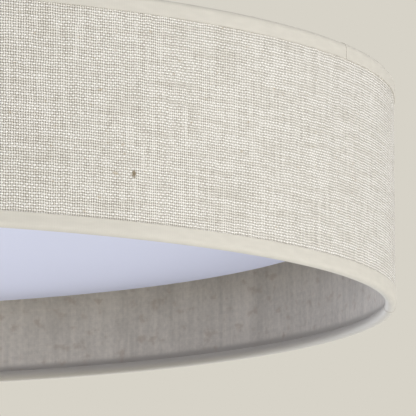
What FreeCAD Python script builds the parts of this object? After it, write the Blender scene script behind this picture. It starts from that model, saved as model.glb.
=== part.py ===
"""Flush mount ceiling light: a linen drum shade round an opal diffuser, under an LED tray.

Millimetres, +Z up. The origin is the middle of the ceiling plane, so all of the light hangs below Z = 0.
Every piece is written to parts/NAME.step. Pieces that are alike share one file as separate solids.
"""

import FreeCAD
import Part
import math
import os

Vector = FreeCAD.Vector
UP = Vector(0, 0, 1)
CENTRE = Vector(0, 0, 0)

# Shade
shade_radius = 250.0  # outside of the linen
shade_height = 80.0
shade_gap = 3.0  # ceiling to the top edge of the shade
linen_t = 0.8
liner_t = 0.4  # stiff sheet that the linen is glued to
hoop_w = 2.9  # radial width of the steel hoops inside both edges
hoop_h = 3.6
tape_t = 0.4  # folded trim tape
tape_top_drop = 5.7  # how far each tape reaches over the linen
tape_bottom_rise = 5.3
tape_bend = 1.2  # bevel of the fold's outer corner
panel_setback = 1.3  # linen and liner stop this far inside the fold

# Diffuser
diffuser_recess = 29.4  # up from the shade's bottom edge to the diffuser's face
diffuser_gap = 11.0  # from the shade's liner to the diffuser's wall
diffuser_t = 2.2
diffuser_corner = 8.0
corner_steps = 3  # conical bands round the corner
lug_count = 3
lug_reach = 8.0  # how far a lug stands in from the wall
lug_t = 2.6
lug_angle = 9.0  # degrees

# Tray, the pressed steel pan that carries everything
pan_depth = 12.0
pan_t = 0.9
pan_flange = 3.0  # turned-out rim that lies on the ceiling
pan_bend = 1.6
pan_inset = 1.0  # pan wall inside the lugs' inner ends
rib_radius = 126.0
rib_width = 9.0
rib_rise = 2.0

# Catches that the diffuser's lugs turn on to
catch_t = 1.5
catch_angle = 7.0  # degrees
catch_overlap = 5.0  # lug over catch, radially
catch_foot = 14.0  # length of the part welded under the pan
catch_setback = 1.5  # pan wall to the catch's upright
lug_clearance = 0.3
stop_height = 2.2  # tab that stops the lug at the locked end
stop_angle = 0.5

# Shade arms, studs and thumb nuts
arm_count = 3
arm_first_angle = 90.0  # degrees; the catches lie half way between the arms
arm_width = 16.0
arm_t = 1.2
arm_tip = 10.0  # arm past its stud
arm_hole_clearance = 0.25
stud_inset = 28.0  # pan wall to the stud circle
stud_r = 2.0
stud_length = 18.0  # below the pan's floor
lip_clearance = 1.5  # arm's underside to the diffuser's lip
washer_r = 4.6
washer_t = 0.8
nut_r = 6.5
nut_h = 6.0
nut_teeth = 14
nut_tooth = 0.7
nut_hub_r = 4.2
nut_hub_h = 2.0
thread_clearance = 0.05

# Bracket that screws to the ceiling box
bracket_width = 28.0
bracket_t = 1.6
bracket_drop = 5.0  # how far the end tabs step down
bracket_step = 5.0  # horizontal run of each step
tab_end = 15.0  # hanging screw to the end of its tab
tab_start = 10.0  # hanging screw to the step
slot_spacing = 70.0
slot_r = 2.5
slot_length = 22.0
bracket_hole_r = 10.0
screw_spacing = 146.0  # the two hanging screws
screw_r = 2.0
screw_head_r = 4.0
screw_head_h = 2.4
screw_end = 5.0  # thread past the pan's floor
hex_flat = 7.0  # across the flats of the nuts
locknut_h = 3.2
cap_hex_h = 3.6
cap_dome_h = 4.4
cap_dome_r = 3.1
screw_hole_clearance = 0.3

# Cable grommet
grommet_bore_r = 4.0
grommet_r = 10.0
grommet_groove_r = 8.5
grommet_lip = 3.2

# LED board
board_width = 24.0
board_t = 1.6
board_gap = 13.0  # board's edge to the thumb nuts
board_slot_angle = 4.0  # gap in the ring, opposite the connector
chip_count = 48
chip_x = 3.5
chip_y = 2.8
chip_h = 0.8
connector_x = 12.0
connector_overhang = 3.0  # inside the board's edge, over the end of the lead
connector_y = 9.0
connector_h = 5.0

# Driver
driver_x = 110.0
driver_y = 40.0
driver_case_h = 15.0
driver_cover_h = 8.0
driver_place = -50.0  # its middle, along Y
driver_wall = 1.8  # cover outside the case
driver_ear = 9.0
driver_ear_t = 2.4
driver_ear_w = 14.0
vent_count = 6
vent_w = 2.0
vent_length = 22.0
vent_depth = 2.5
vent_pitch = 7.0

# Lever terminal block
terminal_x = -46.0
terminal_y = 50.0
terminal_l = 24.0  # along X, the way the wires run
terminal_h = 12.5
poles = 3
lever_w = 5.0
lever_gap = 3.0  # between neighbouring levers
pole_pitch = lever_w + lever_gap
terminal_end_wall = 1.4
lever_t = 2.2
lever_end_gap = 2.0  # lever's tip to the block's supply end
lever_clearance = 0.3
lever_pivot_r = 1.4
lever_pivot_cover = 0.8  # block under the pivot
lever_pivot_inset = 5.0  # from the block's output end
lever_pivot_reach = 0.7  # pivot into each cheek
pivot_clearance = 0.08
port_w = 4.0
port_h = 3.4
port_depth = 8.0
port_sill = 2.0  # pan's floor to the port

# Leads
twin_w = 3.8
single_w = 2.0
lead_t = 1.6
lead_bend = 8.0
supply_loop = 30.0  # out from the driver's ear
supply_offset = -4.0  # from the block's middle, along Y
board_loop = 40.0
earth_x = -70.0
earth_y = 80.0
earth_ring_r = 4.6
earth_hole_r = 2.1

# Levels and radii that follow from the sizes above
shade_top = -shade_gap
shade_bottom = shade_top - shade_height
liner_outer = shade_radius - linen_t
liner_inner = liner_outer - liner_t
hoop_inner = liner_inner - hoop_w
tape_outer = shade_radius + tape_t
tape_inner = hoop_inner - tape_t
floor_low = -pan_depth
floor_high = floor_low + pan_t
lip_top = floor_low - arm_t - lip_clearance
diffuser_face = shade_bottom + diffuser_recess
diffuser_r = liner_inner - diffuser_gap
diffuser_inner_r = diffuser_r - diffuser_t
lug_inner_r = diffuser_inner_r - lug_reach
lug_low = lip_top - lug_t
pan_r = lug_inner_r - pan_inset
stud_circle = pan_r - stud_inset
catch_outer = pan_r - catch_setback
catch_top = lug_low - lug_clearance
catch_low = catch_top - catch_t
catch_tip = lug_inner_r + catch_overlap
board_outer = stud_circle - nut_r - board_gap
board_inner = board_outer - board_width
board_mid = (board_outer + board_inner) / 2
board_low = floor_low - board_t
arm_low = floor_low - arm_t
catch_first_angle = arm_first_angle + 180.0 / arm_count


def turned(points):
    """Solid of revolution about Z from a closed outline of (radius, height)."""
    corners = [Vector(r, 0, z) for r, z in points]
    return Part.Face(Part.makePolygon(corners + corners[:1])).revolve(CENTRE, UP, 360)


def turned_sector(points, angle, middle):
    """The same outline turned through angle degrees, centred on the direction middle."""
    corners = [Vector(r, 0, z) for r, z in points]
    sector = Part.Face(Part.makePolygon(corners + corners[:1])).revolve(CENTRE, UP, angle)
    sector.rotate(CENTRE, UP, middle - angle / 2)
    return sector


def rectangle(inner, outer, low, high):
    """Outline of a plain ring's section."""
    return [(inner, low), (outer, low), (outer, high), (inner, high)]


def rod(radius, low, high, x=0.0, y=0.0):
    """Upright cylinder."""
    return Part.makeCylinder(radius, high - low, Vector(x, y, low))


def block(x0, x1, y0, y1, low, high):
    """Box between two corners."""
    return Part.makeBox(x1 - x0, y1 - y0, high - low, Vector(x0, y0, low))


def prism(points, low, high, x=0.0, y=0.0):
    """Upright prism of a closed outline of (x, y)."""
    corners = [Vector(x + px, y + py, low) for px, py in points]
    return Part.Face(Part.makePolygon(corners + corners[:1])).extrude(Vector(0, 0, high - low))


def hexagon(flat):
    """Outline of a hexagon by its width across the flats."""
    corner = flat / math.sqrt(3)
    turns = [math.radians(60 * i) for i in range(6)]
    return [(corner * math.cos(a), corner * math.sin(a)) for a in turns]


def around(solid, count, first=0.0):
    """Copies of a solid that lies along +X, spaced evenly about Z from the angle first."""
    copies = []
    for i in range(count):
        copy = solid.copy()
        copy.rotate(CENTRE, UP, first + 360.0 * i / count)
        copies.append(copy)
    return copies


def at_angle(radius, degrees):
    """Point (x, y) on a circle about Z."""
    return radius * math.cos(math.radians(degrees)), radius * math.sin(math.radians(degrees))


def save(name, *solids):
    """Writes one piece, or a group of like pieces, to its own file."""
    for solid in solids:
        if not solid.isValid() or solid.Volume <= 0:
            raise ValueError(name + " is not a sound solid")
    shape = solids[0] if len(solids) == 1 else Part.makeCompound(list(solids))
    shape.exportStep("parts/" + name + ".step")


# Shade


def hoop(edge, direction):
    """Steel hoop inside an edge of the shade. Direction is -1 at the top edge and +1 at the bottom."""
    near = edge + direction * tape_t
    return turned(rectangle(hoop_inner, liner_inner, *sorted((near, near + direction * hoop_h))))


def trim(edge, direction, reach):
    """Tape folded over an edge: a long leg on the linen, a short one round the hoop."""
    heights = [0, tape_bend, tape_t, panel_setback, tape_t + hoop_h, reach]
    low, bend, inside, panel, short_leg, long_leg = [edge + direction * h for h in heights]
    outline = [
        (shade_radius, panel),
        (shade_radius, long_leg),
        (tape_outer, long_leg),
        (tape_outer, bend),
        (tape_outer - tape_bend, low),
        (tape_inner, low),
        (tape_inner, short_leg),
        (hoop_inner, short_leg),
        (hoop_inner, inside),
        (liner_inner, inside),
    ]
    return turned(outline)


def shade_arm():
    """Steel strip from the top hoop down under the pan's floor, with a hole for its stud."""
    weld = shade_top - tape_t - hoop_h
    step_out = pan_r + pan_flange + (weld - arm_low)
    step_in = pan_r + pan_flange
    tip = stud_circle - arm_tip
    upper = [(liner_inner, weld), (step_out, weld), (step_in, floor_low), (tip, floor_low)]
    lower = [(r, z - arm_t) for r, z in reversed(upper)]
    side = [Vector(r, -arm_width / 2, z) for r, z in upper + lower]
    strip = Part.Face(Part.makePolygon(side + side[:1])).extrude(Vector(0, arm_width, 0))
    inside_liner = rod(liner_inner, arm_low - arm_t, 0)
    rounded = rod(arm_width / 2, arm_low - arm_t, 0, tip + arm_width / 2)
    past_tip = block(tip + arm_width / 2, liner_inner, -arm_width / 2, arm_width / 2, arm_low - arm_t, 0)
    hole = rod(stud_r + arm_hole_clearance, arm_low - arm_t, 0, stud_circle)
    return strip.common(inside_liner).common(rounded.fuse(past_tip)).cut(hole).removeSplitter()


def build_shade():
    panel_top = shade_top - panel_setback
    panel_bottom = shade_bottom + panel_setback
    save("shade_linen", turned(rectangle(liner_outer, shade_radius, panel_bottom, panel_top)))
    save("shade_liner", turned(rectangle(liner_inner, liner_outer, panel_bottom, panel_top)))
    save("top_hoop", hoop(shade_top, -1))
    save("bottom_hoop", hoop(shade_bottom, 1))
    save("top_trim", trim(shade_top, -1, tape_top_drop))
    save("bottom_trim", trim(shade_bottom, 1, tape_bottom_rise))
    save("shade_arms", *around(shade_arm(), arm_count, arm_first_angle))


# Diffuser and the catches that hold it


def diffuser():
    """Opal dish with a rounded edge and lugs round its lip."""
    base_r = diffuser_r - diffuser_corner
    base_z = diffuser_face + diffuser_corner

    def corner(radius):
        turns = [math.pi / 2 * i / corner_steps for i in range(corner_steps + 1)]
        return [(base_r + radius * math.sin(a), base_z - radius * math.cos(a)) for a in turns]

    outside = [(0, diffuser_face)] + corner(diffuser_corner) + [(diffuser_r, lip_top)]
    inside = [(0, diffuser_face + diffuser_t)] + corner(diffuser_corner - diffuser_t)
    dish = turned(outside + [(diffuser_inner_r, lip_top)] + inside[::-1])
    root = diffuser_inner_r + diffuser_t / 2
    lug = turned_sector(rectangle(lug_inner_r, root, lug_low, lip_top), lug_angle, 0)
    for copy in around(lug, lug_count, catch_first_angle):
        dish = dish.fuse(copy)
    return dish.removeSplitter()


def catch():
    """Pressed Z hook welded under the pan, with an upright tab that stops the lug."""
    upright_in = catch_outer - catch_t
    outline = [
        (catch_outer - catch_foot, floor_low),
        (catch_outer, floor_low),
        (catch_outer, catch_top),
        (catch_tip, catch_top),
        (catch_tip, catch_low),
        (upright_in, catch_low),
        (upright_in, floor_low - catch_t),
        (catch_outer - catch_foot, floor_low - catch_t),
    ]
    hook = turned_sector(outline, catch_angle, 0)
    # The lug turns off the hook clockwise from above, so the stop stands just past its other end.
    beyond = lug_angle / 2 + math.degrees(lug_clearance / lug_inner_r)
    reach = beyond + stop_angle
    shelf = turned_sector(rectangle(catch_outer, catch_tip, catch_low, catch_top), reach, reach / 2)
    raised = rectangle(catch_outer, catch_tip, catch_low, catch_top + stop_height)
    stop = turned_sector(raised, stop_angle, beyond + stop_angle / 2)
    return hook.fuse(shelf).fuse(stop).removeSplitter()


def build_diffuser():
    save("diffuser", diffuser())
    save("diffuser_catches", *around(catch(), lug_count, catch_first_angle))


# Tray and what is fixed to it


def pan():
    """Pressed steel tray, open to the ceiling, with a stiffening rib and holes for its screws and cable."""
    rib_inner = rib_radius - rib_width
    rib_top = rib_radius - rib_width / 2
    outline = [
        (0, floor_low),
        (rib_inner, floor_low),
        (rib_top, floor_low + rib_rise),
        (rib_radius, floor_low),
        (pan_r - pan_bend, floor_low),
        (pan_r, floor_low + pan_bend),
        (pan_r, -pan_t),
        (pan_r + pan_flange, -pan_t),
        (pan_r + pan_flange, 0),
        (pan_r - pan_t, 0),
        (pan_r - pan_t, floor_low + pan_bend),
        (pan_r - pan_bend, floor_high),
        (rib_radius, floor_high),
        (rib_top, floor_high + rib_rise),
        (rib_inner, floor_high),
        (0, floor_high),
    ]
    tray = turned(outline).cut(rod(grommet_groove_r, floor_low, floor_high))
    for side in (-1, 1):
        hole = rod(screw_r + screw_hole_clearance, floor_low, floor_high, side * screw_spacing / 2)
        tray = tray.cut(hole)
    return tray


def stud():
    """Threaded stud welded under the pan."""
    return rod(stud_r, floor_low - stud_length, floor_low, stud_circle)


def grommet():
    low = floor_low - grommet_lip
    high = floor_high + grommet_lip
    outline = [
        (grommet_bore_r, low),
        (grommet_r, low),
        (grommet_r, floor_low),
        (grommet_groove_r, floor_low),
        (grommet_groove_r, floor_high),
        (grommet_r, floor_high),
        (grommet_r, high),
        (grommet_bore_r, high),
    ]
    return turned(outline)


def build_tray():
    save("base_pan", pan())
    save("shade_studs", *around(stud(), arm_count, arm_first_angle))
    save("cable_grommet", grommet())


def bracket():
    """Strap that screws to the ceiling box, with its end tabs stepped down for the hanging screws."""
    half = screw_spacing / 2 + tab_end
    run = screw_spacing / 2 - tab_start
    flat = run - bracket_step
    upper = [(-half, -bracket_drop), (-run, -bracket_drop), (-flat, 0)]
    upper += [(flat, 0), (run, -bracket_drop), (half, -bracket_drop)]
    lower = [(x, z - bracket_t) for x, z in reversed(upper)]
    side = [Vector(x, -bracket_width / 2, z) for x, z in upper + lower]
    strap = Part.Face(Part.makePolygon(side + side[:1])).extrude(Vector(0, bracket_width, 0))
    deep = -bracket_drop - bracket_t
    rounding = bracket_width / 2
    plan = block(rounding - half, half - rounding, -rounding, rounding, deep, 0)
    for end in (-1, 1):
        plan = plan.fuse(rod(rounding, deep, 0, end * (half - rounding)))
    strap = strap.common(plan)
    cuts = [rod(bracket_hole_r, deep, 0)]
    straight = (slot_length - 2 * slot_r) / 2
    for end in (-1, 1):
        middle = end * slot_spacing / 2
        cuts.append(block(middle - straight, middle + straight, -slot_r, slot_r, deep, 0))
        cuts.append(rod(slot_r, deep, 0, middle - straight))
        cuts.append(rod(slot_r, deep, 0, middle + straight))
        cuts.append(rod(screw_r, deep, 0, end * screw_spacing / 2))
    for cut in cuts:
        strap = strap.cut(cut)
    return strap.removeSplitter()


def build_bracket():
    tab_low = -bracket_drop - bracket_t
    screws = []
    locknuts = []
    caps = []
    for end in (-1, 1):
        x = end * screw_spacing / 2
        head = rod(screw_head_r, -bracket_drop, -bracket_drop + screw_head_h, x)
        screws.append(head.fuse(rod(screw_r, floor_low - screw_end, -bracket_drop, x)))
        nut = prism(hexagon(hex_flat), tab_low - locknut_h, tab_low, x)
        locknuts.append(nut.cut(rod(screw_r, tab_low - locknut_h, tab_low, x)))
        hex_low = floor_low - cap_hex_h
        cap = prism(hexagon(hex_flat), hex_low, floor_low, x)
        cap = cap.fuse(rod(cap_dome_r, hex_low - cap_dome_h, hex_low, x))
        caps.append(cap.cut(rod(screw_r, floor_low - screw_end, floor_low, x)))
    save("mounting_bracket", bracket())
    save("hanging_screws", *screws)
    save("lock_nuts", *locknuts)
    save("cap_nuts", *caps)


# Thumb nuts and washers under the shade's arms


def thumb_nut(x, y):
    """Nut with a smooth hub against the washer and a toothed grip below it."""
    top = arm_low - washer_t
    grip_top = top - nut_hub_h
    turns = [math.pi * i / nut_teeth for i in range(2 * nut_teeth)]
    radii = [nut_r - nut_tooth * (i % 2) for i in range(2 * nut_teeth)]
    star = [(r * math.cos(a), r * math.sin(a)) for r, a in zip(radii, turns)]
    grip = prism(star, grip_top - nut_h, grip_top, x, y)
    nut = grip.fuse(rod(nut_hub_r, grip_top, top, x, y))
    return nut.cut(rod(stud_r + thread_clearance, grip_top - nut_h, top, x, y))


def washer(x, y):
    disc = rod(washer_r, arm_low - washer_t, arm_low, x, y)
    return disc.cut(rod(stud_r + thread_clearance, arm_low - washer_t, arm_low, x, y))


def build_thumb_nuts():
    for i in range(arm_count):
        x, y = at_angle(stud_circle, arm_first_angle + 360.0 * i / arm_count)
        save("nut_washer_%d" % (i + 1), washer(x, y))
        save("thumb_nut_%d" % (i + 1), thumb_nut(x, y))


# LED board


def build_board():
    """Ring of aluminium board with a gap in it opposite the connector."""
    angle = 360 - board_slot_angle
    save("led_board", turned_sector(rectangle(board_inner, board_outer, board_low, floor_low), angle, 0))
    half = chip_x / 2
    chip = block(board_mid - half, board_mid + half, -chip_y / 2, chip_y / 2, board_low - chip_h, board_low)
    # Half a step round, so that no chip lies under the connector or over the gap.
    save("led_chips", *around(chip, chip_count, 180.0 / chip_count))
    inner = board_inner - connector_overhang
    low = board_low - connector_h
    half = connector_y / 2
    save("board_connector", block(inner, inner + connector_x, -half, half, low, board_low))


# Driver


def build_driver():
    half_x = driver_x / 2
    half_y = driver_y / 2
    seam = floor_low - driver_case_h
    bottom = seam - driver_cover_h
    case = block(
        driver_wall - half_x,
        half_x - driver_wall,
        driver_place + driver_wall - half_y,
        driver_place + half_y - driver_wall,
        seam,
        floor_low,
    )
    for side in (-1, 1):
        inner = side * (half_x - driver_wall)
        outer = side * (half_x + driver_ear)
        ear = block(
            min(inner, outer),
            max(inner, outer),
            driver_place - driver_ear_w / 2,
            driver_place + driver_ear_w / 2,
            floor_low - driver_ear_t,
            floor_low,
        )
        case = case.fuse(ear)
    cover = block(-half_x, half_x, driver_place - half_y, driver_place + half_y, bottom, seam)
    cover = cover.makeChamfer(driver_wall, [e for e in cover.Edges if abs(e.CenterOfMass.z - bottom) < 0.01])
    for i in range(vent_count):
        x = (i - (vent_count - 1) / 2) * vent_pitch
        cover = cover.cut(
            block(
                x - vent_w / 2,
                x + vent_w / 2,
                driver_place - vent_length / 2,
                driver_place + vent_length / 2,
                bottom,
                bottom + vent_depth,
            )
        )
    save("driver_case", case.removeSplitter())
    save("driver_cover", cover)


# Lever terminal block


terminal_low = floor_low - terminal_h
pivot_x = terminal_x - terminal_l / 2 + lever_pivot_inset
pivot_z = terminal_low + lever_pivot_cover + lever_pivot_r
lever_tip = terminal_x + terminal_l / 2 - lever_end_gap


def pole_places():
    return [terminal_y + (i - (poles - 1) / 2) * pole_pitch for i in range(poles)]


def along_y(radius, length, x, y, z):
    """Cylinder along Y, centred on (x, y, z)."""
    return Part.makeCylinder(radius, length, Vector(x, y - length / 2, z), Vector(0, 1, 0))


def lever(y):
    """Flat lever with its pivot barrel, closed flush with the block's underside."""
    half = lever_w / 2
    flap = block(pivot_x, lever_tip, y - half, y + half, terminal_low, terminal_low + lever_t)
    barrel = along_y(lever_pivot_r, lever_w + 2 * (lever_clearance + lever_pivot_reach), pivot_x, y, pivot_z)
    return flap.fuse(barrel).removeSplitter()


def terminal():
    """Block with a slot and a pivot socket for each lever and a wire port at the supply end."""
    half_l = terminal_l / 2
    half_w = poles * pole_pitch / 2 + terminal_end_wall
    left = terminal_x - half_l
    right = terminal_x + half_l
    body = block(left, right, terminal_y - half_w, terminal_y + half_w, terminal_low, floor_low)
    slot_half = lever_w / 2 + lever_clearance
    slot_left = pivot_x - lever_pivot_r - lever_pivot_cover - lever_clearance
    slot_top = pivot_z + lever_pivot_r + lever_clearance
    socket_r = lever_pivot_r + pivot_clearance
    socket_length = 2 * (slot_half + lever_pivot_reach + pivot_clearance)
    port_top = floor_low - port_sill
    for y in pole_places():
        slot = block(slot_left, right, y - slot_half, y + slot_half, terminal_low, slot_top)
        socket = along_y(socket_r, socket_length, pivot_x, y, pivot_z)
        port = block(right - port_depth, right, y - port_w / 2, y + port_w / 2, port_top - port_h, port_top)
        body = body.cut(slot).cut(socket).cut(port)
    return body.removeSplitter()


def build_terminal():
    save("terminal_block", terminal())
    for i, y in enumerate(pole_places()):
        save("terminal_lever_%d" % (i + 1), lever(y))


# Leads


def route(points, bend):
    """Path of straight runs joined by tangent arcs, at right angles or near them."""
    edges = []
    start = points[0]
    for before, corner, after in zip(points, points[1:], points[2:]):
        into = (corner - before).normalize()
        out = (after - corner).normalize()
        turn = into.getAngle(out)
        back = bend * math.tan(turn / 2)
        enter = corner - into * back
        leave = corner + out * back
        inward = (out - into).normalize()
        middle = corner + inward * (bend / math.cos(turn / 2) - bend)
        edges.append(Part.LineSegment(start, enter).toShape())
        edges.append(Part.Arc(enter, middle, leave).toShape())
        start = leave
    edges.append(Part.LineSegment(start, points[-1]).toShape())
    return Part.Wire(edges)


def lead(points, width):
    """Flat lead that lies against the pan's floor."""
    path = [Vector(x, y, floor_low - lead_t / 2) for x, y in points]
    along = (path[1] - path[0]).normalize()
    across = along.cross(UP) * (width / 2)
    rise = UP * (lead_t / 2)
    start = path[0]
    ends = [start + across + rise, start - across + rise, start - across - rise, start + across - rise]
    return route(path, lead_bend).makePipeShell([Part.makePolygon(ends + ends[:1])], True, False)


def build_leads():
    block_end = terminal_x - terminal_l / 2
    supply_y = terminal_y + supply_offset
    earth_pole = pole_places()[-1]
    ear_end = driver_x / 2 + driver_ear
    supply_turn = -ear_end - supply_loop
    board_turn = ear_end + board_loop
    supply = [(block_end, supply_y), (supply_turn, supply_y)]
    supply += [(supply_turn, driver_place), (-ear_end, driver_place)]
    output_end = board_inner - connector_overhang / 2
    output = [(ear_end, driver_place), (board_turn, driver_place), (board_turn, 0), (output_end, 0)]
    earth = [(block_end, earth_pole), (earth_x, earth_pole), (earth_x, earth_y - earth_hole_r - single_w / 2)]
    low = floor_low - lead_t
    ring = rod(earth_ring_r, low, floor_low, earth_x, earth_y)
    earthed = lead(earth, single_w).fuse(ring).cut(rod(earth_hole_r, low, floor_low, earth_x, earth_y))
    save("supply_leads", lead(supply, twin_w))
    save("led_leads", lead(output, twin_w))
    save("earth_lead", earthed.removeSplitter())


os.makedirs("parts", exist_ok=True)
build_shade()
build_diffuser()
build_tray()
build_bracket()
build_thumb_nuts()
build_board()
build_driver()
build_terminal()
build_leads()
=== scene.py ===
"""Looks for a flush mount ceiling light: a linen drum shade with rolled edges round an opal diffuser.

Metres, +Z up, with the middle of the ceiling plane at the origin.
"""

import bmesh
import bpy
import math
from mathutils import Matrix, Vector


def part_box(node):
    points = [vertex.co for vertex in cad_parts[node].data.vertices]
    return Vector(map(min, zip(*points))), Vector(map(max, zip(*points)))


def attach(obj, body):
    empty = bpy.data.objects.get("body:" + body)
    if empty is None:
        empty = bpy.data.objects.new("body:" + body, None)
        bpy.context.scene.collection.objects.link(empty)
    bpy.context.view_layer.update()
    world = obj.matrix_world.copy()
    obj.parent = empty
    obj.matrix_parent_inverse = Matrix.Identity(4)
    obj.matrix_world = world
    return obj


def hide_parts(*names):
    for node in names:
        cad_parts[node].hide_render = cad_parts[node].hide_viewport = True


bl_info = {
    "name": "Flush Mount Linen Light",
    "version": (1, 0, 0),
    "blender": (4, 5, 0),
    "location": "3D View > Sidebar > Ceiling Light",
    "description": "Covers, trims, diffuser, screws and finishes of a flush mount drum light",
    "category": "Add Mesh",
}

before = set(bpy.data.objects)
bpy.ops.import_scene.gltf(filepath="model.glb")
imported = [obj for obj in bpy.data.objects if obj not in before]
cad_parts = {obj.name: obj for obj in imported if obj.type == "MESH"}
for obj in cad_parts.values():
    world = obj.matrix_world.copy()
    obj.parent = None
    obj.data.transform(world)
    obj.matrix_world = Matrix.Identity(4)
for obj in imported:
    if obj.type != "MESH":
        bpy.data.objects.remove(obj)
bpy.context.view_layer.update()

# Sizes of the light, from the frame
LINEN_LOW, LINEN_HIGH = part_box("shade_linen")
LINER_LOW, LINER_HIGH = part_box("shade_liner")
TOP_LOW, TOP_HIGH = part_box("top_trim")
BOTTOM_LOW, BOTTOM_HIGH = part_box("bottom_trim")
ARM_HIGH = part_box("shade_arms")[1]
DISH_LOW, DISH_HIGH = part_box("diffuser")
TRAY_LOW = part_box("base_pan")[0]
BOARD_LOW, BOARD_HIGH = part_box("led_board")
DRIVER_LOW, DRIVER_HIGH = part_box("driver_case")
EARTH_LOW, EARTH_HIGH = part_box("earth_lead")

# Sizes that the frame's boxes don't tell
LINEN_R = 0.25
LINEN_T = 0.0008
LINEN_LAP = 0.012  # width of the glued lap at the back
LINER_T = 0.0004
LINER_INNER_R = LINEN_R - LINEN_T - LINER_T
TAPE_T = 0.0004
TAPE_R = LINEN_R + TAPE_T
BEAD_R = 0.002  # outside of the tape that is rolled round the wire hoop
BEAD_MIDDLE_R = TAPE_R - BEAD_R  # from the Z axis to the middle of the wire
WIRE_R = 0.0014
WELD_HALF = 0.0031  # half the length of a hoop's butt weld
WELD_BULGE = 0.00025
TOP_LAP, BOTTOM_LAP = math.radians(-27.5), math.radians(-3)  # round from +X, where the tapes' ends lap
LAP_ANGLE = math.radians(10)
LAP_LEAN = -0.2  # slant of the end that shows on the bottom tape
CLEAR = 0.0001  # between pieces whose faces would meet

THREADS_ROUND = 1718  # even, so that the weave closes on itself
THREAD_PITCH = 2 * math.pi * LINEN_R / THREADS_ROUND
SPECK = (166.6, -67.8)  # the brown knot in the linen, in threads round and rows up
SPECK_HALF = (0.85, 1.3)  # about half its width and height, in threads

DISH_T = 0.0022
DISH_CORNER = 0.008
LUG_FIRST = math.radians(150)
LUG_ANGLE = math.radians(9)
LUG_REACH = 0.008
LUG_T = 0.0026

BOARD_WIDTH = 0.024
EAR_MIDDLE = 0.0045  # in from the end of the driver's ear
EAR_T = 0.0024
EARTH_RING_R = 0.0046

# Steps of the meshes, and how near a vertex has to be to a place to count as there
RING_STEPS = 512
ROLL_STEPS = 16  # round half a bead
CLOSE = 0.000001

# The camera, from the perspective of the shade's two edges. Its turns are in radians.
EYE = Vector((0.0, -2.1869, BOTTOM_LOW[2] - 0.2682))
EYE_TURN = 0.0841  # towards +X
EYE_PITCH = 0.139
EYE_ROLL = -0.0037
EYE_LENS = 535.4  # mm, on a sensor 36 mm wide

FLOOR_WIDTH = 240.0  # its edge lies close to the horizon
SHADE_MIDDLE = (0, 0, -0.05)  # what the lamps are aimed at


# Sizes and colours that a user may change


def colour_setting(name, description, default):
    return bpy.props.FloatVectorProperty(
        name=name, description=description, default=default, size=3, subtype="COLOR", min=0.0, max=1.0
    )


def power_setting(name, description, default):
    return bpy.props.FloatProperty(
        name=name, description=description, default=default, min=0.0, unit="POWER"
    )


class ShadeSettings(bpy.types.PropertyGroup):
    yarn_light: colour_setting("Light yarn", "Colour of the palest threads", (0.93, 0.91, 0.87))
    yarn_middle: colour_setting("Middle yarn", "Colour of most upright threads", (0.81, 0.78, 0.718))
    yarn_dark: colour_setting("Dark yarn", "Colour of the greyer threads", (0.71, 0.675, 0.608))
    # The gap colour is painted shade, the darkness in the pits between the threads.
    gap: colour_setting("Gap", "Colour seen between the threads", (0.265, 0.24, 0.198))
    fleck: colour_setting("Fleck", "Colour of the husk left in the yarn", (0.42, 0.33, 0.2))
    tape: colour_setting("Tape", "Colour of the rolled trim tape", (0.565, 0.54, 0.482))
    inside: colour_setting("Inside", "Colour of the liner", (0.665, 0.615, 0.538))


class DiffuserSettings(bpy.types.PropertyGroup):
    opal: colour_setting("Opal", "Colour of the acrylic", (0.64, 0.668, 0.83))
    corner_steps: bpy.props.IntProperty(
        name="Corner steps", description="Faces across the rounded corner", default=10, min=3, max=24
    )


class StageSettings(bpy.types.PropertyGroup):
    backdrop: colour_setting("Backdrop", "Colour behind the light", (0.68, 0.651, 0.578))
    floor: colour_setting("Floor", "Colour of the floor", (0.72, 0.71, 0.68))
    fill: bpy.props.FloatProperty(
        name="Fill light", description="Strength of the even light from all round", default=0.37, min=0.0
    )
    key: power_setting("Key light", "Power of the soft lamp in front", 124.0)
    back: power_setting("Back light", "Power of the soft lamp behind and below", 60.0)
    low: power_setting("Low light", "Power of the soft lamp in front and below", 29.0)
    top: power_setting("Top light", "Power of the soft lamp above", 32.0)
    floor_drop: bpy.props.FloatProperty(
        name="Floor drop",
        description="From the ceiling down to the floor",
        default=2.6,
        min=0.5,
        unit="LENGTH",
    )


# Shader maths


class Value:
    """A socket that takes part in Python arithmetic, each operation adding its Math node."""

    def __init__(self, nodes, socket):
        self.nodes = nodes
        self.socket = socket

    def maths(self, operation, *values):
        return self.nodes.node("Math", {"operation": operation}, dict(enumerate(values)))

    def __add__(self, other):
        return self.maths("ADD", self, other)

    __radd__ = __add__

    def __sub__(self, other):
        return self.maths("SUBTRACT", self, other)

    def __rsub__(self, other):
        return self.maths("SUBTRACT", other, self)

    def __mul__(self, other):
        return self.maths("MULTIPLY", self, other)

    __rmul__ = __mul__

    def __truediv__(self, other):
        return self.maths("DIVIDE", self, other)

    def __abs__(self):
        return self.maths("ABSOLUTE", self)

    def __floor__(self):
        return self.maths("FLOOR", self)

    def sine(self):
        return self.maths("SINE", self)

    def root(self):
        return self.maths("SQRT", self)

    def largest(self, other):
        return self.maths("MAXIMUM", self, other)

    def between(self, low, high):
        """0 below low, 1 above high and smooth in between."""
        sockets = {"Value": self, "From Min": low, "From Max": high}
        return self.nodes.node("MapRange", {"interpolation_type": "SMOOTHSTEP"}, sockets)


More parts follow.
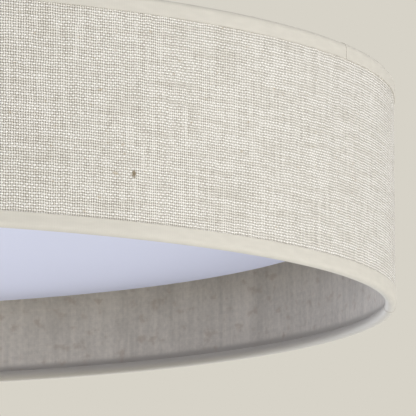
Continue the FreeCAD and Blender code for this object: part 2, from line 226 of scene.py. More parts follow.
class Nodes:
    """A node tree to which nodes are added by type, settings and socket values."""

    def __init__(self, tree):
        self.tree = tree

    def connect(self, value, socket):
        if isinstance(value, Value):
            self.tree.links.new(value.socket, socket)
        else:
            socket.default_value = value

    def node(self, kind, settings, sockets, output=0):
        made = self.tree.nodes.new("ShaderNode" + kind)
        for name, value in settings.items():
            setattr(made, name, value)
        for name, value in sockets.items():
            self.connect(value, made.inputs[name])
        return Value(self, made.outputs[output] if len(made.outputs) else None)

    def shown(self):
        """1 for what is seen, in a mirror or through glass as well, and 0 for what only gives light."""
        kinds = ("Camera", "Glossy", "Transmission")
        rays = [self.node("LightPath", {}, {}, "Is %s Ray" % kind) for kind in kinds]
        return rays[0].largest(rays[1]).largest(rays[2])


def shaded(colour, share):
    """The same colour, lighter or darker."""
    return [min(1.0, c * share) for c in colour]


class Finish(Nodes):
    """A new material on one Principled shader, and the patterns that feed it."""

    def __init__(self, name, roughness, **constants):
        self.material = bpy.data.materials.new(name)
        self.material.use_nodes = True
        super().__init__(self.material.node_tree)
        self.shader = self.tree.nodes["Principled BSDF"]
        self.shader.inputs["Roughness"].default_value = roughness
        for socket, value in constants.items():
            self.shader.inputs[socket.replace("_", " ").title()].default_value = value

    def place(self):
        """x, y and z of the point, in the light's own frame."""
        point = self.node("TexCoord", {}, {}, "Object")
        return [self.node("SeparateXYZ", {}, {0: point}, axis) for axis in "XYZ"]

    def vector(self, x, y, z):
        return self.node("CombineXYZ", {}, {0: x, 1: y, 2: z})

    def point(self):
        return self.vector(*self.place())

    def noise(self, vector, scale, detail=2.0):
        return self.node("TexNoise", {}, {"Vector": vector, "Scale": scale, "Detail": detail})

    def patches(self, across, up, seed, detail=2.0):
        """Noise of about one patch to a unit across and up, and another pattern for each seed."""
        return self.noise(self.vector(across, up, seed), 1.0, detail)

    def mix(self, factor, low, high):
        """From one colour to another."""
        low, high = [c if isinstance(c, Value) else (*c, 1.0) for c in (low, high)]
        return self.node("Mix", {"data_type": "RGBA"}, {0: factor, 6: low, 7: high}, 2)

    def tones(self, factor, colour, dark, light=1.0):
        """From a darker to a lighter tone of one colour."""
        return self.mix(factor, shaded(colour, dark), shaded(colour, light))

    def colour(self, value):
        self.connect(value, self.shader.inputs["Base Color"])

    def roughness(self, value):
        self.connect(value, self.shader.inputs["Roughness"])

    def bump(self, height, strength, distance):
        sockets = {"Height": height, "Strength": strength, "Distance": distance}
        self.connect(self.node("Bump", {}, sockets), self.shader.inputs["Normal"])


# Finishes


def distance(x, y):
    """How far a point at x and y is from the middle."""
    return (x * x + y * y).root()


def round_shade(finish):
    """Threads round from the front, and rows up, at a point of the shade."""
    x, y, z = finish.place()
    angle = x.maths("ARCTAN2", x, 0.0 - y)
    return angle * (THREADS_ROUND / (2 * math.pi)), z / THREAD_PITCH


def weave(finish, across, up):
    """Heights of the level and the upright threads of a plain weave, and each thread's own tone."""
    stray = 0.9  # how far a thread may leave its straight line, in threads
    middle, wave = 0.55, 0.45  # a thread's height, and its rise over one thread and dip under the next
    uneven = 0.22  # how much a paler thread stands out
    across = across + stray * finish.patches(across * 0.06, up * 0.21, 0.0)
    up = up + stray * finish.patches(across * 0.21, up * 0.06, 9.0)
    upright = (across * math.pi).sine()
    level = (up * math.pi).sine()
    crossing = upright * level
    level_tone = finish.patches(across * 0.035, math.floor(up) * 0.61, 3.0)
    upright_tone = finish.patches(math.floor(across) * 0.61, up * 0.035, 6.0)
    swell = finish.patches(across * 0.4, up * 0.4, 24.0, detail=3.0) + 0.5
    level_height = abs(level) * (middle + wave * crossing) * swell + (level_tone - 0.5) * uneven
    upright_height = abs(upright) * (middle - wave * crossing) * swell + (upright_tone - 0.5) * uneven
    return level_height, upright_height, level_tone, upright_tone


def linen_finish(settings):
    """Plain weave of uneven yarn, with slubs, flecks of husk, one brown knot and painted shade in the pits
    between the threads.
    """
    finish = Finish("linen_weave", roughness=0.92, sheen_weight=0.2, sheen_roughness=0.5)
    across, up = round_shade(finish)
    level_height, upright_height, level_tone, upright_tone = weave(finish, across, up)
    upright_yarn = finish.mix(upright_tone.between(0.34, 0.62), settings.yarn_dark, settings.yarn_middle)
    level_yarn = finish.mix(level_tone.between(0.32, 0.6), settings.yarn_middle, settings.yarn_light)
    on_top = (level_height - upright_height).between(-0.12, 0.16)
    height = level_height.largest(upright_height)
    # Where both threads dip low, the gap colour takes over: painted shade in the pits of the weave.
    cloth = finish.mix(height.between(0.18, 0.7), settings.gap, finish.mix(on_top, upright_yarn, level_yarn))
    slub = finish.patches(across * 0.5, up * 0.03, 12.0).between(0.58, 0.78)
    cloth = finish.mix(slub * 0.3, cloth, settings.yarn_light)
    husk = finish.patches(across * 0.3, up * 0.55, 15.0, detail=1.0).between(0.7, 0.78)
    cloth = finish.mix(husk * 0.5, cloth, settings.fleck)
    ragged = 1.6 * finish.noise(finish.vector(across, up, 18.0), 0.7)
    off_across = (across - SPECK[0]) / SPECK_HALF[0]
    off_up = (up - SPECK[1]) / SPECK_HALF[1]
    speck = 1.0 - (distance(off_across, off_up) + ragged).between(1.2, 2.2)
    finish.colour(finish.mix(speck, cloth, shaded(settings.fleck, 0.55)))
    finish.bump(height + slub * 0.3, strength=1.0, distance=0.00032)
    return finish.material


def liner_finish(settings):
    """Satin sheet through which the linen behind it shows softly, with painted shade along its lower edge,
    in the crease above the bead.
    """
    finish = Finish("liner_sheet", roughness=0.55)
    across, up = round_shade(finish)
    level_height, upright_height, level_tone, upright_tone = weave(finish, across, up)
    cloud = finish.patches(across * 0.05, up * 0.06, 5.0, detail=4.0)
    streak = finish.patches(across * 0.22, up * 0.025, 8.0, detail=3.0)
    speckle = finish.patches(across * 0.55, up * 0.55, 3.0, detail=5.0)
    threads = level_height.largest(upright_height) * 0.04 + level_tone * 0.12 + upright_tone * 0.18
    tone = (threads + cloud * 0.45 + streak * 0.45 + speckle * 0.4).between(0.5, 1.15)
    sheet = finish.tones(tone, settings.inside, 0.76, 1.17)
    crease_shade_rows = (4.0, 6.4)  # up from the liner's lower edge, where the painted shade of the crease fades out
    above_crease_shade = (up - LINER_LOW[2] / THREAD_PITCH).between(*crease_shade_rows)
    # Painted shade: the sheet is darkened along its lower edge, in the crease above the bottom bead.
    sheet = finish.mix(above_crease_shade, shaded(settings.inside, 0.68), sheet)
    rust = finish.patches(across * 0.16, up * 0.2, 21.0, detail=5.0).between(0.54, 0.7)
    rust_brown = (0.41, 0.31, 0.23)
    finish.colour(finish.mix(rust * 0.4, sheet, rust_brown))
    finish.bump(level_height, strength=0.1, distance=0.0001)
    return finish.material


def tape_finish(settings):
    """Close-woven tape, nearly smooth, with a faint stain here and there, and painted shade on the part
    tucked round the hoop inside the shade.
    """
    finish = Finish("trim_tape", roughness=0.68, sheen_weight=0.06)
    across, up = round_shade(finish)
    ribs = 0.9  # to a thread of the linen
    rib = (across * (2 * math.pi * ribs)).sine() * 0.5 + 0.5
    mottle = finish.patches(across * 0.12, up * 0.5, 2.0, detail=3.0)
    weft = finish.tones((rib * 0.12 + mottle).between(0.3, 0.85), settings.tape, 0.95, 1.03)
    stain = finish.patches(across * 0.012, up * 0.05, 4.0).between(0.52, 0.75)
    outside = finish.mix(stain * 0.3, weft, shaded(settings.tape, 0.86))
    x, y = finish.place()[:2]
    # Painted shade: the tape turned in round the bead, inside the shade, is darkened towards a grey.
    tucked = 1.0 - distance(x, y).between(TAPE_R - 2 * BEAD_R, TAPE_R - BEAD_R * 0.8)
    inside_shade_grey = (0.46, 0.425, 0.36)
    finish.colour(finish.mix(tucked * 0.8, outside, inside_shade_grey))
    finish.bump(rib * 0.4 + mottle, strength=0.2, distance=0.00006)
    return finish.material


def opal_finish(settings):
    """Satin opal acrylic with the faintest cloudiness."""
    finish = Finish("opal_acrylic", roughness=0.42)
    point = finish.point()
    cloud = finish.noise(point, 9.0)
    grain = finish.noise(point, 900.0)
    finish.colour(finish.tones(cloud, settings.opal, 0.97, 1.02))
    finish.roughness(grain * 0.08 + 0.38)
    return finish.material


def powder_coat():
    """White powder coat with a slight orange peel."""
    finish = Finish("white_powder_coat", roughness=0.5)
    point = finish.point()
    peel = finish.noise(point, 700.0)
    film = finish.noise(point, 14.0)
    finish.colour(finish.mix(film, (0.76, 0.76, 0.74), (0.82, 0.82, 0.8)))
    finish.roughness(peel * 0.14 + 0.42)
    finish.bump(peel, strength=0.2, distance=0.0001)
    return finish.material


def bright_zinc():
    """Zinc plate with a fine spangle, brushed along X."""
    finish = Finish("bright_zinc", roughness=0.34, metallic=1.0)
    x, y, z = finish.place()
    point = finish.vector(x, y, z)
    spangle = finish.node("TexVoronoi", {}, {"Vector": point, "Scale": 330.0})
    brushed = finish.noise(finish.vector(x * 60.0, y * 900.0, z * 900.0), 1.0)
    finish.colour(finish.mix(spangle, (0.6, 0.61, 0.62), (0.72, 0.73, 0.74)))
    finish.roughness(brushed * 0.2 + 0.24)
    return finish.material


def coated_wire():
    """Steel wire with an uneven coat of white lacquer."""
    finish = Finish("coated_wire", roughness=0.45)
    drip = finish.noise(finish.point(), 240.0)
    finish.colour(finish.mix(drip, (0.7, 0.69, 0.66), (0.8, 0.79, 0.76)))
    finish.roughness(drip * 0.2 + 0.35)
    return finish.material


def moulded(name, base, rough):
    """Moulded plastic with a fine spark-eroded grain."""
    finish = Finish(name, rough)
    point = finish.point()
    grain = finish.noise(point, 2600.0)
    haze = finish.noise(point, 45.0)
    finish.colour(finish.tones(haze, base, 0.93))
    finish.roughness(grain * 0.16 + (rough - 0.08))
    finish.bump(grain, strength=0.15, distance=0.00005)
    return finish.material


def solder_mask():
    """White mask over copper, with the tracks just showing."""
    finish = Finish("white_solder_mask", roughness=0.35)
    track_pitch = 0.006
    x, y, z = finish.place()
    track = abs((distance(x, y) * (math.pi / track_pitch)).sine()).between(0.2, 0.35)
    dust = finish.noise(finish.vector(x, y, z), 60.0)
    finish.colour(finish.mix(track * 0.7 + dust * 0.3, (0.7, 0.72, 0.7), (0.82, 0.83, 0.81)))
    finish.bump(track, strength=0.3, distance=0.00005)
    return finish.material


def phosphor():
    """Yellow gel over the chips."""
    finish = Finish("chip_phosphor", roughness=0.3)
    cloud = finish.noise(finish.point(), 900.0)
    finish.colour(finish.mix(cloud, (0.86, 0.6, 0.14), (0.92, 0.72, 0.26)))
    return finish.material


def sheath(name, base):
    """Soft cable sheath with a little scuffing."""
    finish = Finish(name, roughness=0.4)
    scuff = finish.noise(finish.point(), 320.0)
    finish.colour(finish.tones(scuff, base, 0.88))
    finish.roughness(scuff * 0.2 + 0.3)
    return finish.material


def shared(make, name):
    """The finish of this name, made at its first use."""
    return bpy.data.materials.get(name) or make()


def floor_finish(base):
    """Pale floor that keeps a faint shadow, and can be looked through from underneath."""
    finish = Finish("pale_floor", roughness=0.9)
    glow_share = 0.7
    mottle = finish.noise(finish.point(), 0.5)
    finish.colour(finish.tones(mottle, base, 0.98))
    underneath = finish.node("NewGeometry", {}, {}, "Backfacing")
    top = Value(finish, finish.shader.outputs["BSDF"])
    glow = finish.node("Emission", {}, {"Color": (*base, 1)})
    clear = finish.node("BsdfTransparent", {}, {})
    lit = finish.node("MixShader", {}, {0: finish.shown() * glow_share, 1: top, 2: glow})
    surface = finish.node("MixShader", {}, {0: underneath, 1: lit, 2: clear})
    finish.connect(surface, finish.tree.nodes["Material Output"].inputs["Surface"])
    return finish.material


# Modelling helpers


def deselect():
    """Leaves edit mode, with nothing selected."""
    if bpy.context.object and bpy.context.object.mode != "OBJECT":
        bpy.ops.object.mode_set(mode="OBJECT")
    bpy.ops.object.select_all(action="DESELECT")


def choose(*pieces):
    """Selects these pieces alone, the last of them active."""
    deselect()
    for piece in pieces:
        piece.select_set(True)
    bpy.context.view_layer.objects.active = pieces[-1]


def named(name):
    """The piece that was just made, under this name."""
    made = bpy.context.active_object
    made.name = name
    made.data.name = name
    return made


def apply_place():
    """Puts the place, turn and scale of what is selected into its mesh."""
    bpy.ops.object.transform_apply(location=True, rotation=True, scale=True)


def copy_of(piece, name):
    """Copy of the piece, with its own mesh."""
    choose(piece)
    bpy.ops.object.duplicate(linked=False)
    return named(name)


def pick(piece, kind, wanted):
    """In edit mode, selects the edges or faces whose vertices all pass the test on their place."""
    bpy.ops.mesh.select_mode(type="VERT")
    bpy.ops.mesh.select_all(action="DESELECT")
    mesh = bmesh.from_edit_mesh(piece.data)
    for vertex in mesh.verts:
        vertex.select = wanted(vertex.co)
    mesh.select_flush(True)
    bmesh.update_edit_mesh(piece.data)
    bpy.ops.mesh.select_mode(type=kind)


def solidify(piece, thickness, offset=-1.0):
    """Gives the piece a wall, inwards at an offset of -1 and outwards at 1."""
    choose(piece)
    bpy.ops.object.modifier_add(type="SOLIDIFY")
    modifier = piece.modifiers[-1]
    modifier.thickness = thickness
    modifier.offset = offset
    modifier.use_even_offset = True
    bpy.ops.object.modifier_apply(modifier=modifier.name)


def face_outwards(piece):
    """Merges what is double in the piece and points its faces out."""
    choose(piece)
    bpy.ops.object.mode_set(mode="EDIT")
    bpy.ops.mesh.select_all(action="SELECT")
    bpy.ops.mesh.remove_doubles(threshold=CLOSE)
    bpy.ops.mesh.normals_make_consistent(inside=False)
    bpy.ops.object.mode_set(mode="OBJECT")


def settle(piece, body, material, degrees=40):
    """Applies the piece's place, smooths it, and gives it its body, slot and finish."""
    choose(piece)
    apply_place()
    bpy.ops.object.shade_smooth_by_angle(angle=math.radians(degrees))
    piece.data.materials.clear()
    piece.data.materials.append(material)
    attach(piece, body)


def band(name, radius, low, high, rows):
    """Open tube about Z, cut into rows."""
    deselect()
    bpy.ops.mesh.primitive_cylinder_add(
        vertices=RING_STEPS,
        radius=radius,
        depth=high - low,
        end_fill_type="NOTHING",
        location=(0, 0, (low + high) / 2),
    )
    piece = named(name)
    apply_place()
    bpy.ops.object.mode_set(mode="EDIT")
    for row in range(1, rows):
        bpy.ops.mesh.select_all(action="SELECT")
        height = low + (high - low) * row / rows
        bpy.ops.mesh.bisect(plane_co=(0, 0, height), plane_no=(0, 0, 1))
    bpy.ops.object.mode_set(mode="OBJECT")
    return piece


def about_z(angle, radius, height):
    """Point at an angle round from +X."""
    return (radius * math.cos(angle), radius * math.sin(angle), height)


def cut_off(point, kept):
    """In edit mode, cuts through the point and leaves the side to which the direction kept points."""
    bpy.ops.mesh.select_all(action="SELECT")
    bpy.ops.mesh.bisect(plane_co=point, plane_no=kept, clear_inner=True)


def keep_sector(piece, first, last, lean=0.0):
    """Cuts the piece down to a short sector about Z. Lean slants its first end, from the bottom edge up."""
    choose(piece)
    bpy.ops.object.mode_set(mode="EDIT")
    cut_off((0, 0, 0), about_z((first + last) / 2, 1, 0))
    cut_off(about_z(first, TAPE_R, BOTTOM_LOW[2]), about_z(first + math.pi / 2, 1, lean))
    cut_off(about_z(last, TAPE_R, BOTTOM_LOW[2]), about_z(last - math.pi / 2, 1, 0))
    bpy.ops.object.mode_set(mode="OBJECT")


def follow(piece, start, profile):
    """Extrudes the open edge at the height start along a profile of (radius, height)."""
    radius, height = start
    choose(piece)
    bpy.ops.object.mode_set(mode="EDIT")
    pick(piece, "EDGE", lambda p: abs(p.z - height) < CLOSE)
    for next_radius, next_height in profile:
        rise = next_height - height
        grow = next_radius / radius
        bpy.ops.mesh.extrude_edges_move(TRANSFORM_OT_translate={"value": (0, 0, rise)})
        bpy.ops.transform.resize(value=(grow, grow, 1), center_override=(0, 0, next_height))
        radius, height = next_radius, next_height
    bpy.ops.object.mode_set(mode="OBJECT")


# Operators


class CEILING_OT_linen(bpy.types.Operator):
    """Linen wrapped round the drum, with its glued lap at the back"""

    bl_idname = "ceiling_light.linen"
    bl_label = "Linen Cover"

    def execute(self, context):
        low, high = LINEN_LOW[2], LINEN_HIGH[2]
        cover = band("linen_cover", LINEN_R, low, high, rows=4)
        solidify(cover, LINEN_T)
        lap = band("linen_lap", LINEN_R, BOTTOM_HIGH[2] + 2 * CLEAR, TOP_LOW[2] - 2 * CLEAR, rows=4)
        half_lap = LINEN_LAP / 2 / LINEN_R
        keep_sector(lap, math.pi / 2 - half_lap, math.pi / 2 + half_lap)
        solidify(lap, LINEN_T / 2, offset=1.0)
        choose(lap, cover)
        bpy.ops.object.join()
        settle(cover, "fixture", linen_finish(context.scene.ceiling_shade))
        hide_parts("shade_linen")
        return {"FINISHED"}


class CEILING_OT_liner(bpy.types.Operator):
    """Stiff sheet behind the linen"""

    bl_idname = "ceiling_light.liner"
    bl_label = "Liner"

    def execute(self, context):
        liner = band("liner_sheet", LINEN_R - LINEN_T, LINER_LOW[2], LINER_HIGH[2], rows=4)
        solidify(liner, LINER_T)
        settle(liner, "fixture", liner_finish(context.scene.ceiling_shade))
        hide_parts("shade_liner")
        return {"FINISHED"}


def bead_arc(middle, direction, first, last):
    """Points round a bead from step first to step last, of which ROLL_STEPS go to half a turn."""
    turns = [math.pi * step / ROLL_STEPS for step in range(first, last + 1)]
    return [(BEAD_MIDDLE_R + BEAD_R * math.cos(a), middle - direction * BEAD_R * math.sin(a)) for a in turns]


def rolled_tape(name, edge, direction, reach, tuck):
    """Tape on the linen, rolled round the hoop at the edge and tucked in along the points tuck."""
    far = edge + direction * reach
    middle = edge + direction * BEAD_R
    tape = band(name, TAPE_R, min(middle, far), max(middle, far), rows=2)
    follow(tape, (TAPE_R, middle), bead_arc(middle, direction, 1, ROLL_STEPS) + tuck)
    face_outwards(tape)
    return tape


def close_tape(tape, first, lean=0.0):
    """Gives the tape its wall, and a thin second layer where its ends lap, from the angle first on.

    Lean slants the end that shows.
    """
    lap = copy_of(tape, "tape_lap")
    keep_sector(lap, first, first + LAP_ANGLE, lean)
    solidify(lap, TAPE_T / 3, offset=1.0)
    solidify(tape, TAPE_T)
    choose(lap, tape)
    bpy.ops.object.join()


def wire_hoop(name, height):
    """Round wire bent into a hoop, with the bulge of its butt weld at the back."""
    deselect()
    bpy.ops.mesh.primitive_torus_add(
        location=(0, 0, height),
        major_radius=BEAD_MIDDLE_R,
        minor_radius=WIRE_R,
        major_segments=RING_STEPS // 2,
        minor_segments=12,
    )
    wire = named(name)
    apply_place()
    bpy.ops.object.mode_set(mode="EDIT")
    pick(wire, "FACE", lambda p: p.y > 0 and abs(p.x) < WELD_HALF)
    bpy.ops.transform.shrink_fatten(value=WELD_BULGE)
    bpy.ops.object.mode_set(mode="OBJECT")
    return wire


class CEILING_OT_trims(bpy.types.Operator):
    """Tapes rolled over the shade's two edges, and the wire hoops inside them"""

    bl_idname = "ceiling_light.trims"
    bl_label = "Rolled Trims and Hoops"

    def execute(self, context):
        finish = tape_finish(context.scene.ceiling_shade)
        at_liner = LINER_INNER_R - CLEAR
        above_arms = ARM_HIGH[2] + CLEAR
        top_middle = TOP_HIGH[2] - BEAD_R
        bottom_middle = BOTTOM_LOW[2] + BEAD_R
        top_tuck = [(TAPE_R - 2 * BEAD_R, above_arms), (at_liner, above_arms)]
        crown = bead_arc(bottom_middle, 1, ROLL_STEPS + 1, ROLL_STEPS + ROLL_STEPS // 2)
        bottom_tuck = crown + [(at_liner, bottom_middle + BEAD_R * 0.97)]  # a little below the crown
        top = rolled_tape("top_tape", TOP_HIGH[2], -1, TOP_HIGH[2] - TOP_LOW[2], top_tuck)
        bottom = rolled_tape("bottom_tape", BOTTOM_LOW[2], 1, BOTTOM_HIGH[2] - BOTTOM_LOW[2], bottom_tuck)
        close_tape(top, TOP_LAP)
        close_tape(bottom, BOTTOM_LAP, LAP_LEAN)
        settle(top, "fixture", finish)
        settle(bottom, "fixture", finish)
        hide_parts("top_trim")
        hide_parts("bottom_trim")
        coat = coated_wire()
        for name, height in (("top", top_middle), ("bottom", bottom_middle)):
            wire = wire_hoop(name + "_wire", height)
            settle(wire, "fixture", coat)
            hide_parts(name + "_hoop")
        return {"FINISHED"}


def lug():
    """Section of a lug, spun through its angle, half of it on each side of +X."""
    inner = DISH_HIGH[0] - DISH_T - LUG_REACH
    outer = DISH_HIGH[0] - DISH_T / 2
    deselect()
    bpy.ops.mesh.primitive_plane_add(size=1, rotation=(math.pi / 2, 0, 0))
    piece = named("lug_1")
    piece.scale = (outer - inner, LUG_T, 1)
    piece.location = ((inner + outer) / 2, 0, DISH_HIGH[2] - LUG_T / 2)
    apply_place()
    bpy.ops.object.mode_set(mode="EDIT")
    bpy.ops.mesh.select_all(action="SELECT")
    bpy.ops.mesh.spin(steps=8, angle=LUG_ANGLE, center=(0, 0, 0), axis=(0, 0, 1))
    bpy.ops.object.mode_set(mode="OBJECT")
    piece.rotation_euler.z = LUG_ANGLE / 2  # the spin ran clockwise
    choose(piece)
    apply_place()
    face_outwards(piece)
    return piece


def dish(corner_steps):
    """Open cylinder with its lower edge rounded and a wall given to it."""
    deselect()
    bpy.ops.mesh.primitive_cylinder_add(
        vertices=RING_STEPS // 2,
        radius=DISH_HIGH[0],
        depth=DISH_HIGH[2] - DISH_LOW[2],
        location=(0, 0, (DISH_LOW[2] + DISH_HIGH[2]) / 2),
    )
    piece = named("opal_dish")
    apply_place()
    bpy.ops.object.mode_set(mode="EDIT")
    pick(piece, "FACE", lambda p: p.z > DISH_HIGH[2] - CLOSE)
    bpy.ops.mesh.delete(type="ONLY_FACE")
    pick(piece, "EDGE", lambda p: p.z < DISH_LOW[2] + CLOSE)
    bpy.ops.mesh.bevel(offset=DISH_CORNER, segments=corner_steps, affect="EDGES")
    bpy.ops.object.mode_set(mode="OBJECT")
    solidify(piece, DISH_T)
    return piece


class CEILING_OT_diffuser(bpy.types.Operator):
    """Opal dish with its rounded corner and the lugs round its lip"""

    bl_idname = "ceiling_light.diffuser"
    bl_label = "Opal Diffuser"

    def execute(self, context):
        settings = context.scene.ceiling_diffuser
        shell = dish(settings.corner_steps)
        lugs = [lug()]
        lugs += [copy_of(lugs[0], name) for name in ("lug_2", "lug_3")]
        for i, piece in enumerate(lugs):
            piece.rotation_euler.z = LUG_FIRST + 2 * math.pi * i / len(lugs)
            choose(piece)
            apply_place()
        choose(*lugs, shell)
        bpy.ops.object.join()
        settle(shell, "diffuser", opal_finish(settings))
        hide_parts("diffuser")
        return {"FINISHED"}


def pan_screw():
    """Small pan-head screw with a cross recess, its head under the origin."""
    head_r, head_h = 0.0028, 0.0018
    shank_r, shank = 0.0015, 0.0022
    slot, slot_length = 0.0006, head_r * 1.1
    middle = (0, 0, -head_h / 2)
    deselect()
    bpy.ops.mesh.primitive_cylinder_add(vertices=24, radius=head_r, depth=head_h, location=middle)
    screw = named("pan_screw_1")
    apply_place()
    bpy.ops.object.mode_set(mode="EDIT")
    pick(screw, "EDGE", lambda p: p.z < CLOSE - head_h)
    bpy.ops.mesh.bevel(offset=head_h * 0.6, segments=4, affect="EDGES")
    pick(screw, "FACE", lambda p: p.z > -CLOSE)
    bpy.ops.mesh.inset(thickness=head_r - shank_r)
    bpy.ops.mesh.extrude_region_move(TRANSFORM_OT_translate={"value": (0, 0, shank)})
    bpy.ops.object.mode_set(mode="OBJECT")
    for turn in (0, math.pi / 2):
        deselect()
        bpy.ops.mesh.primitive_cube_add(size=1, location=(0, 0, -head_h), rotation=(0, 0, turn))
        cutter = named("recess_cutter")
        cutter.scale = (slot_length, slot, head_h)
        choose(screw)
        bpy.ops.object.modifier_add(type="BOOLEAN")
        modifier = screw.modifiers[-1]
        modifier.operation = "DIFFERENCE"
        modifier.object = cutter
        bpy.ops.object.modifier_apply(modifier=modifier.name)
        bpy.data.objects.remove(cutter)
    return screw


def screw_places():
    """Under the board, under the driver's two ears, and under the earth ring."""
    board_r = BOARD_HIGH[1] - BOARD_WIDTH / 2
    places = [about_z(math.radians(angle), board_r, BOARD_LOW[2]) for angle in (45, 135, 225, 315)]
    middle = (DRIVER_LOW[1] + DRIVER_HIGH[1]) / 2
    for x in (DRIVER_LOW[0] + EAR_MIDDLE, DRIVER_HIGH[0] - EAR_MIDDLE):
        places.append((x, middle, TRAY_LOW[2] - EAR_T))
    places.append((EARTH_LOW[0] + EARTH_RING_R, EARTH_HIGH[1] - EARTH_RING_R, EARTH_LOW[2]))
    return places


class CEILING_OT_screws(bpy.types.Operator):
    """Small screws that hold the board, the driver and the earth lead"""

    bl_idname = "ceiling_light.screws"
    bl_label = "Small Screws"

    def execute(self, context):
        zinc = shared(bright_zinc, "bright_zinc")
        places = screw_places()
        screws = [pan_screw()]
        screws += [copy_of(screws[0], "pan_screw_%d" % i) for i in range(2, len(places) + 1)]
        for screw, place in zip(screws, places):
            screw.location = place
            settle(screw, "fixture", zinc, degrees=30)
        return {"FINISHED"}


class CEILING_OT_finishes(bpy.types.Operator):
    """Finishes for the pieces that keep their shape"""

    bl_idname = "ceiling_light.finishes"
    bl_label = "Metal and Plastic Finishes"

    def execute(self, context):
        white = powder_coat()
        pale = moulded("white_moulding", (0.78, 0.78, 0.75), rough=0.45)
        cable = sheath("white_sheath", (0.75, 0.75, 0.72))
        finishes = {
            "base_pan": white,
            "shade_arms": white,
            "led_board": solder_mask(),
            "led_chips": phosphor(),
            "board_connector": pale,
            "driver_case": pale,
            "driver_cover": pale,
            "terminal_block": moulded("grey_moulding", (0.4, 0.41, 0.43), rough=0.5),
            "cable_grommet": moulded("black_rubber", (0.03, 0.03, 0.03), rough=0.7),
            "supply_leads": cable,
            "led_leads": cable,
            "earth_lead": sheath("green_sheath", (0.15, 0.4, 0.08)),
        }
        slate = moulded("slate_moulding", (0.1, 0.12, 0.15), rough=0.35)
        zinc = shared(bright_zinc, "bright_zinc")
        for name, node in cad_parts.items():
            material = finishes.get(name, slate if name.startswith("terminal_lever") else zinc)
            for slot in node.material_slots:
                slot.material = material
        return {"FINISHED"}


def softbox(name, place, target, power, size, colour):
    """Square lamp that faces the target."""
    turn = (Vector(target) - Vector(place)).to_track_quat("-Z", "Y").to_euler()
    bpy.ops.object.light_add(type="AREA", location=place, rotation=turn)
    lamp = bpy.context.active_object
    lamp.name = name
    lamp.data.energy = power
    lamp.data.shape = "SQUARE"
    lamp.data.size = size
    lamp.data.color = colour


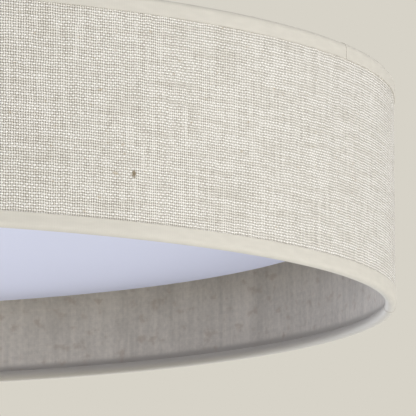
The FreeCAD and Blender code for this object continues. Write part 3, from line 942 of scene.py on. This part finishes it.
class CEILING_OT_stage(bpy.types.Operator):
    """Floor, soft light, backdrop colour and the camera"""

    bl_idname = "ceiling_light.stage"
    bl_label = "Stage"

    def execute(self, context):
        settings = context.scene.ceiling_stage
        context.scene.view_settings.view_transform = "Standard"
        self.backdrop(context.scene, settings)
        deselect()
        bpy.ops.mesh.primitive_plane_add(size=FLOOR_WIDTH, location=(0, 0, -settings.floor_drop))
        floor = named("studio_floor")
        floor.data.materials.append(floor_finish(settings.floor))
        self.lamps(settings)
        self.camera(context.scene)
        return {"FINISHED"}

    def lamps(self, settings):
        """Four soft lamps, as the light falls in the photograph."""
        softbox(
            "front_softbox",
            place=(3.9, -1.7, -1.3),
            target=SHADE_MIDDLE,
            power=settings.key,
            size=2.2,
            colour=(1, 0.99, 0.97),
        )
        softbox(
            "back_softbox",
            place=(-1.0, 2.6, -1.05),
            target=SHADE_MIDDLE,
            power=settings.back,
            size=1.6,
            colour=(0.87, 0.91, 1),
        )
        softbox(
            "low_softbox",
            place=(1.2, -2.4, -1.9),
            target=SHADE_MIDDLE,
            power=settings.low,
            size=1.6,
            colour=(1, 1, 1),
        )
        softbox(
            "top_softbox",
            place=(0.6, -0.8, 2.9),
            target=(0, 0, 0),
            power=settings.top,
            size=1.8,
            colour=(1, 1, 1),
        )

    def backdrop(self, scene, settings):
        """White light from all round, and the backdrop's colour wherever it is seen."""
        scene.world = bpy.data.worlds.new("studio")
        scene.world.use_nodes = True
        nodes = Nodes(scene.world.node_tree)
        nodes.tree.nodes.clear()
        light = nodes.node("Background", {}, {"Color": (1, 1, 1, 1), "Strength": settings.fill})
        seen = nodes.node("Background", {}, {"Color": (*settings.backdrop, 1), "Strength": 1.0})
        mixed = nodes.node("MixShader", {}, {0: nodes.shown(), 1: light, 2: seen})
        nodes.node("OutputWorld", {}, {"Surface": mixed})

    def camera(self, scene):
        """Camera at EYE that looks along +Y, turned, pitched and rolled by the small angles above."""
        ahead = Vector((math.sin(EYE_TURN), math.cos(EYE_TURN), 0)) * math.cos(EYE_PITCH)
        ahead.z = math.sin(EYE_PITCH)
        level = Vector((math.cos(EYE_TURN), -math.sin(EYE_TURN), 0))
        over = level.cross(ahead)
        right = level * math.cos(EYE_ROLL) + over * math.sin(EYE_ROLL)
        up = over * math.cos(EYE_ROLL) - level * math.sin(EYE_ROLL)
        turn = Matrix((right, up, -ahead)).transposed()
        bpy.ops.object.camera_add(location=EYE, rotation=turn.to_euler())
        camera = bpy.context.active_object
        camera.name = "photo_camera"
        camera.data.sensor_width = 36
        camera.data.lens = EYE_LENS
        scene.camera = camera


OPERATORS = (
    CEILING_OT_linen,
    CEILING_OT_liner,
    CEILING_OT_trims,
    CEILING_OT_diffuser,
    CEILING_OT_screws,
    CEILING_OT_finishes,
    CEILING_OT_stage,
)


class CEILING_PT_panel(bpy.types.Panel):
    """Settings of the light, and its operators in the order in which they run"""

    bl_idname = "CEILING_PT_panel"
    bl_label = "Ceiling Light"
    bl_space_type = "VIEW_3D"
    bl_region_type = "UI"
    bl_category = "Ceiling Light"

    def draw(self, context):
        scene = context.scene
        for group in (scene.ceiling_shade, scene.ceiling_diffuser, scene.ceiling_stage):
            for name in group.__annotations__:
                self.layout.prop(group, name)
        for operator in OPERATORS:
            self.layout.operator(operator.bl_idname)


CLASSES = (ShadeSettings, DiffuserSettings, StageSettings, *OPERATORS, CEILING_PT_panel)


def register():
    for made in CLASSES:
        bpy.utils.register_class(made)
    bpy.types.Scene.ceiling_shade = bpy.props.PointerProperty(type=ShadeSettings)
    bpy.types.Scene.ceiling_diffuser = bpy.props.PointerProperty(type=DiffuserSettings)
    bpy.types.Scene.ceiling_stage = bpy.props.PointerProperty(type=StageSettings)


def unregister():
    del bpy.types.Scene.ceiling_stage
    del bpy.types.Scene.ceiling_diffuser
    del bpy.types.Scene.ceiling_shade
    for made in reversed(CLASSES):
        bpy.utils.unregister_class(made)


def main():
    register()
    bpy.ops.ceiling_light.linen()
    bpy.ops.ceiling_light.liner()
    bpy.ops.ceiling_light.trims()
    bpy.ops.ceiling_light.diffuser()
    bpy.ops.ceiling_light.screws()
    bpy.ops.ceiling_light.finishes()
    bpy.ops.ceiling_light.stage()


if __name__ == "__main__":
    main()
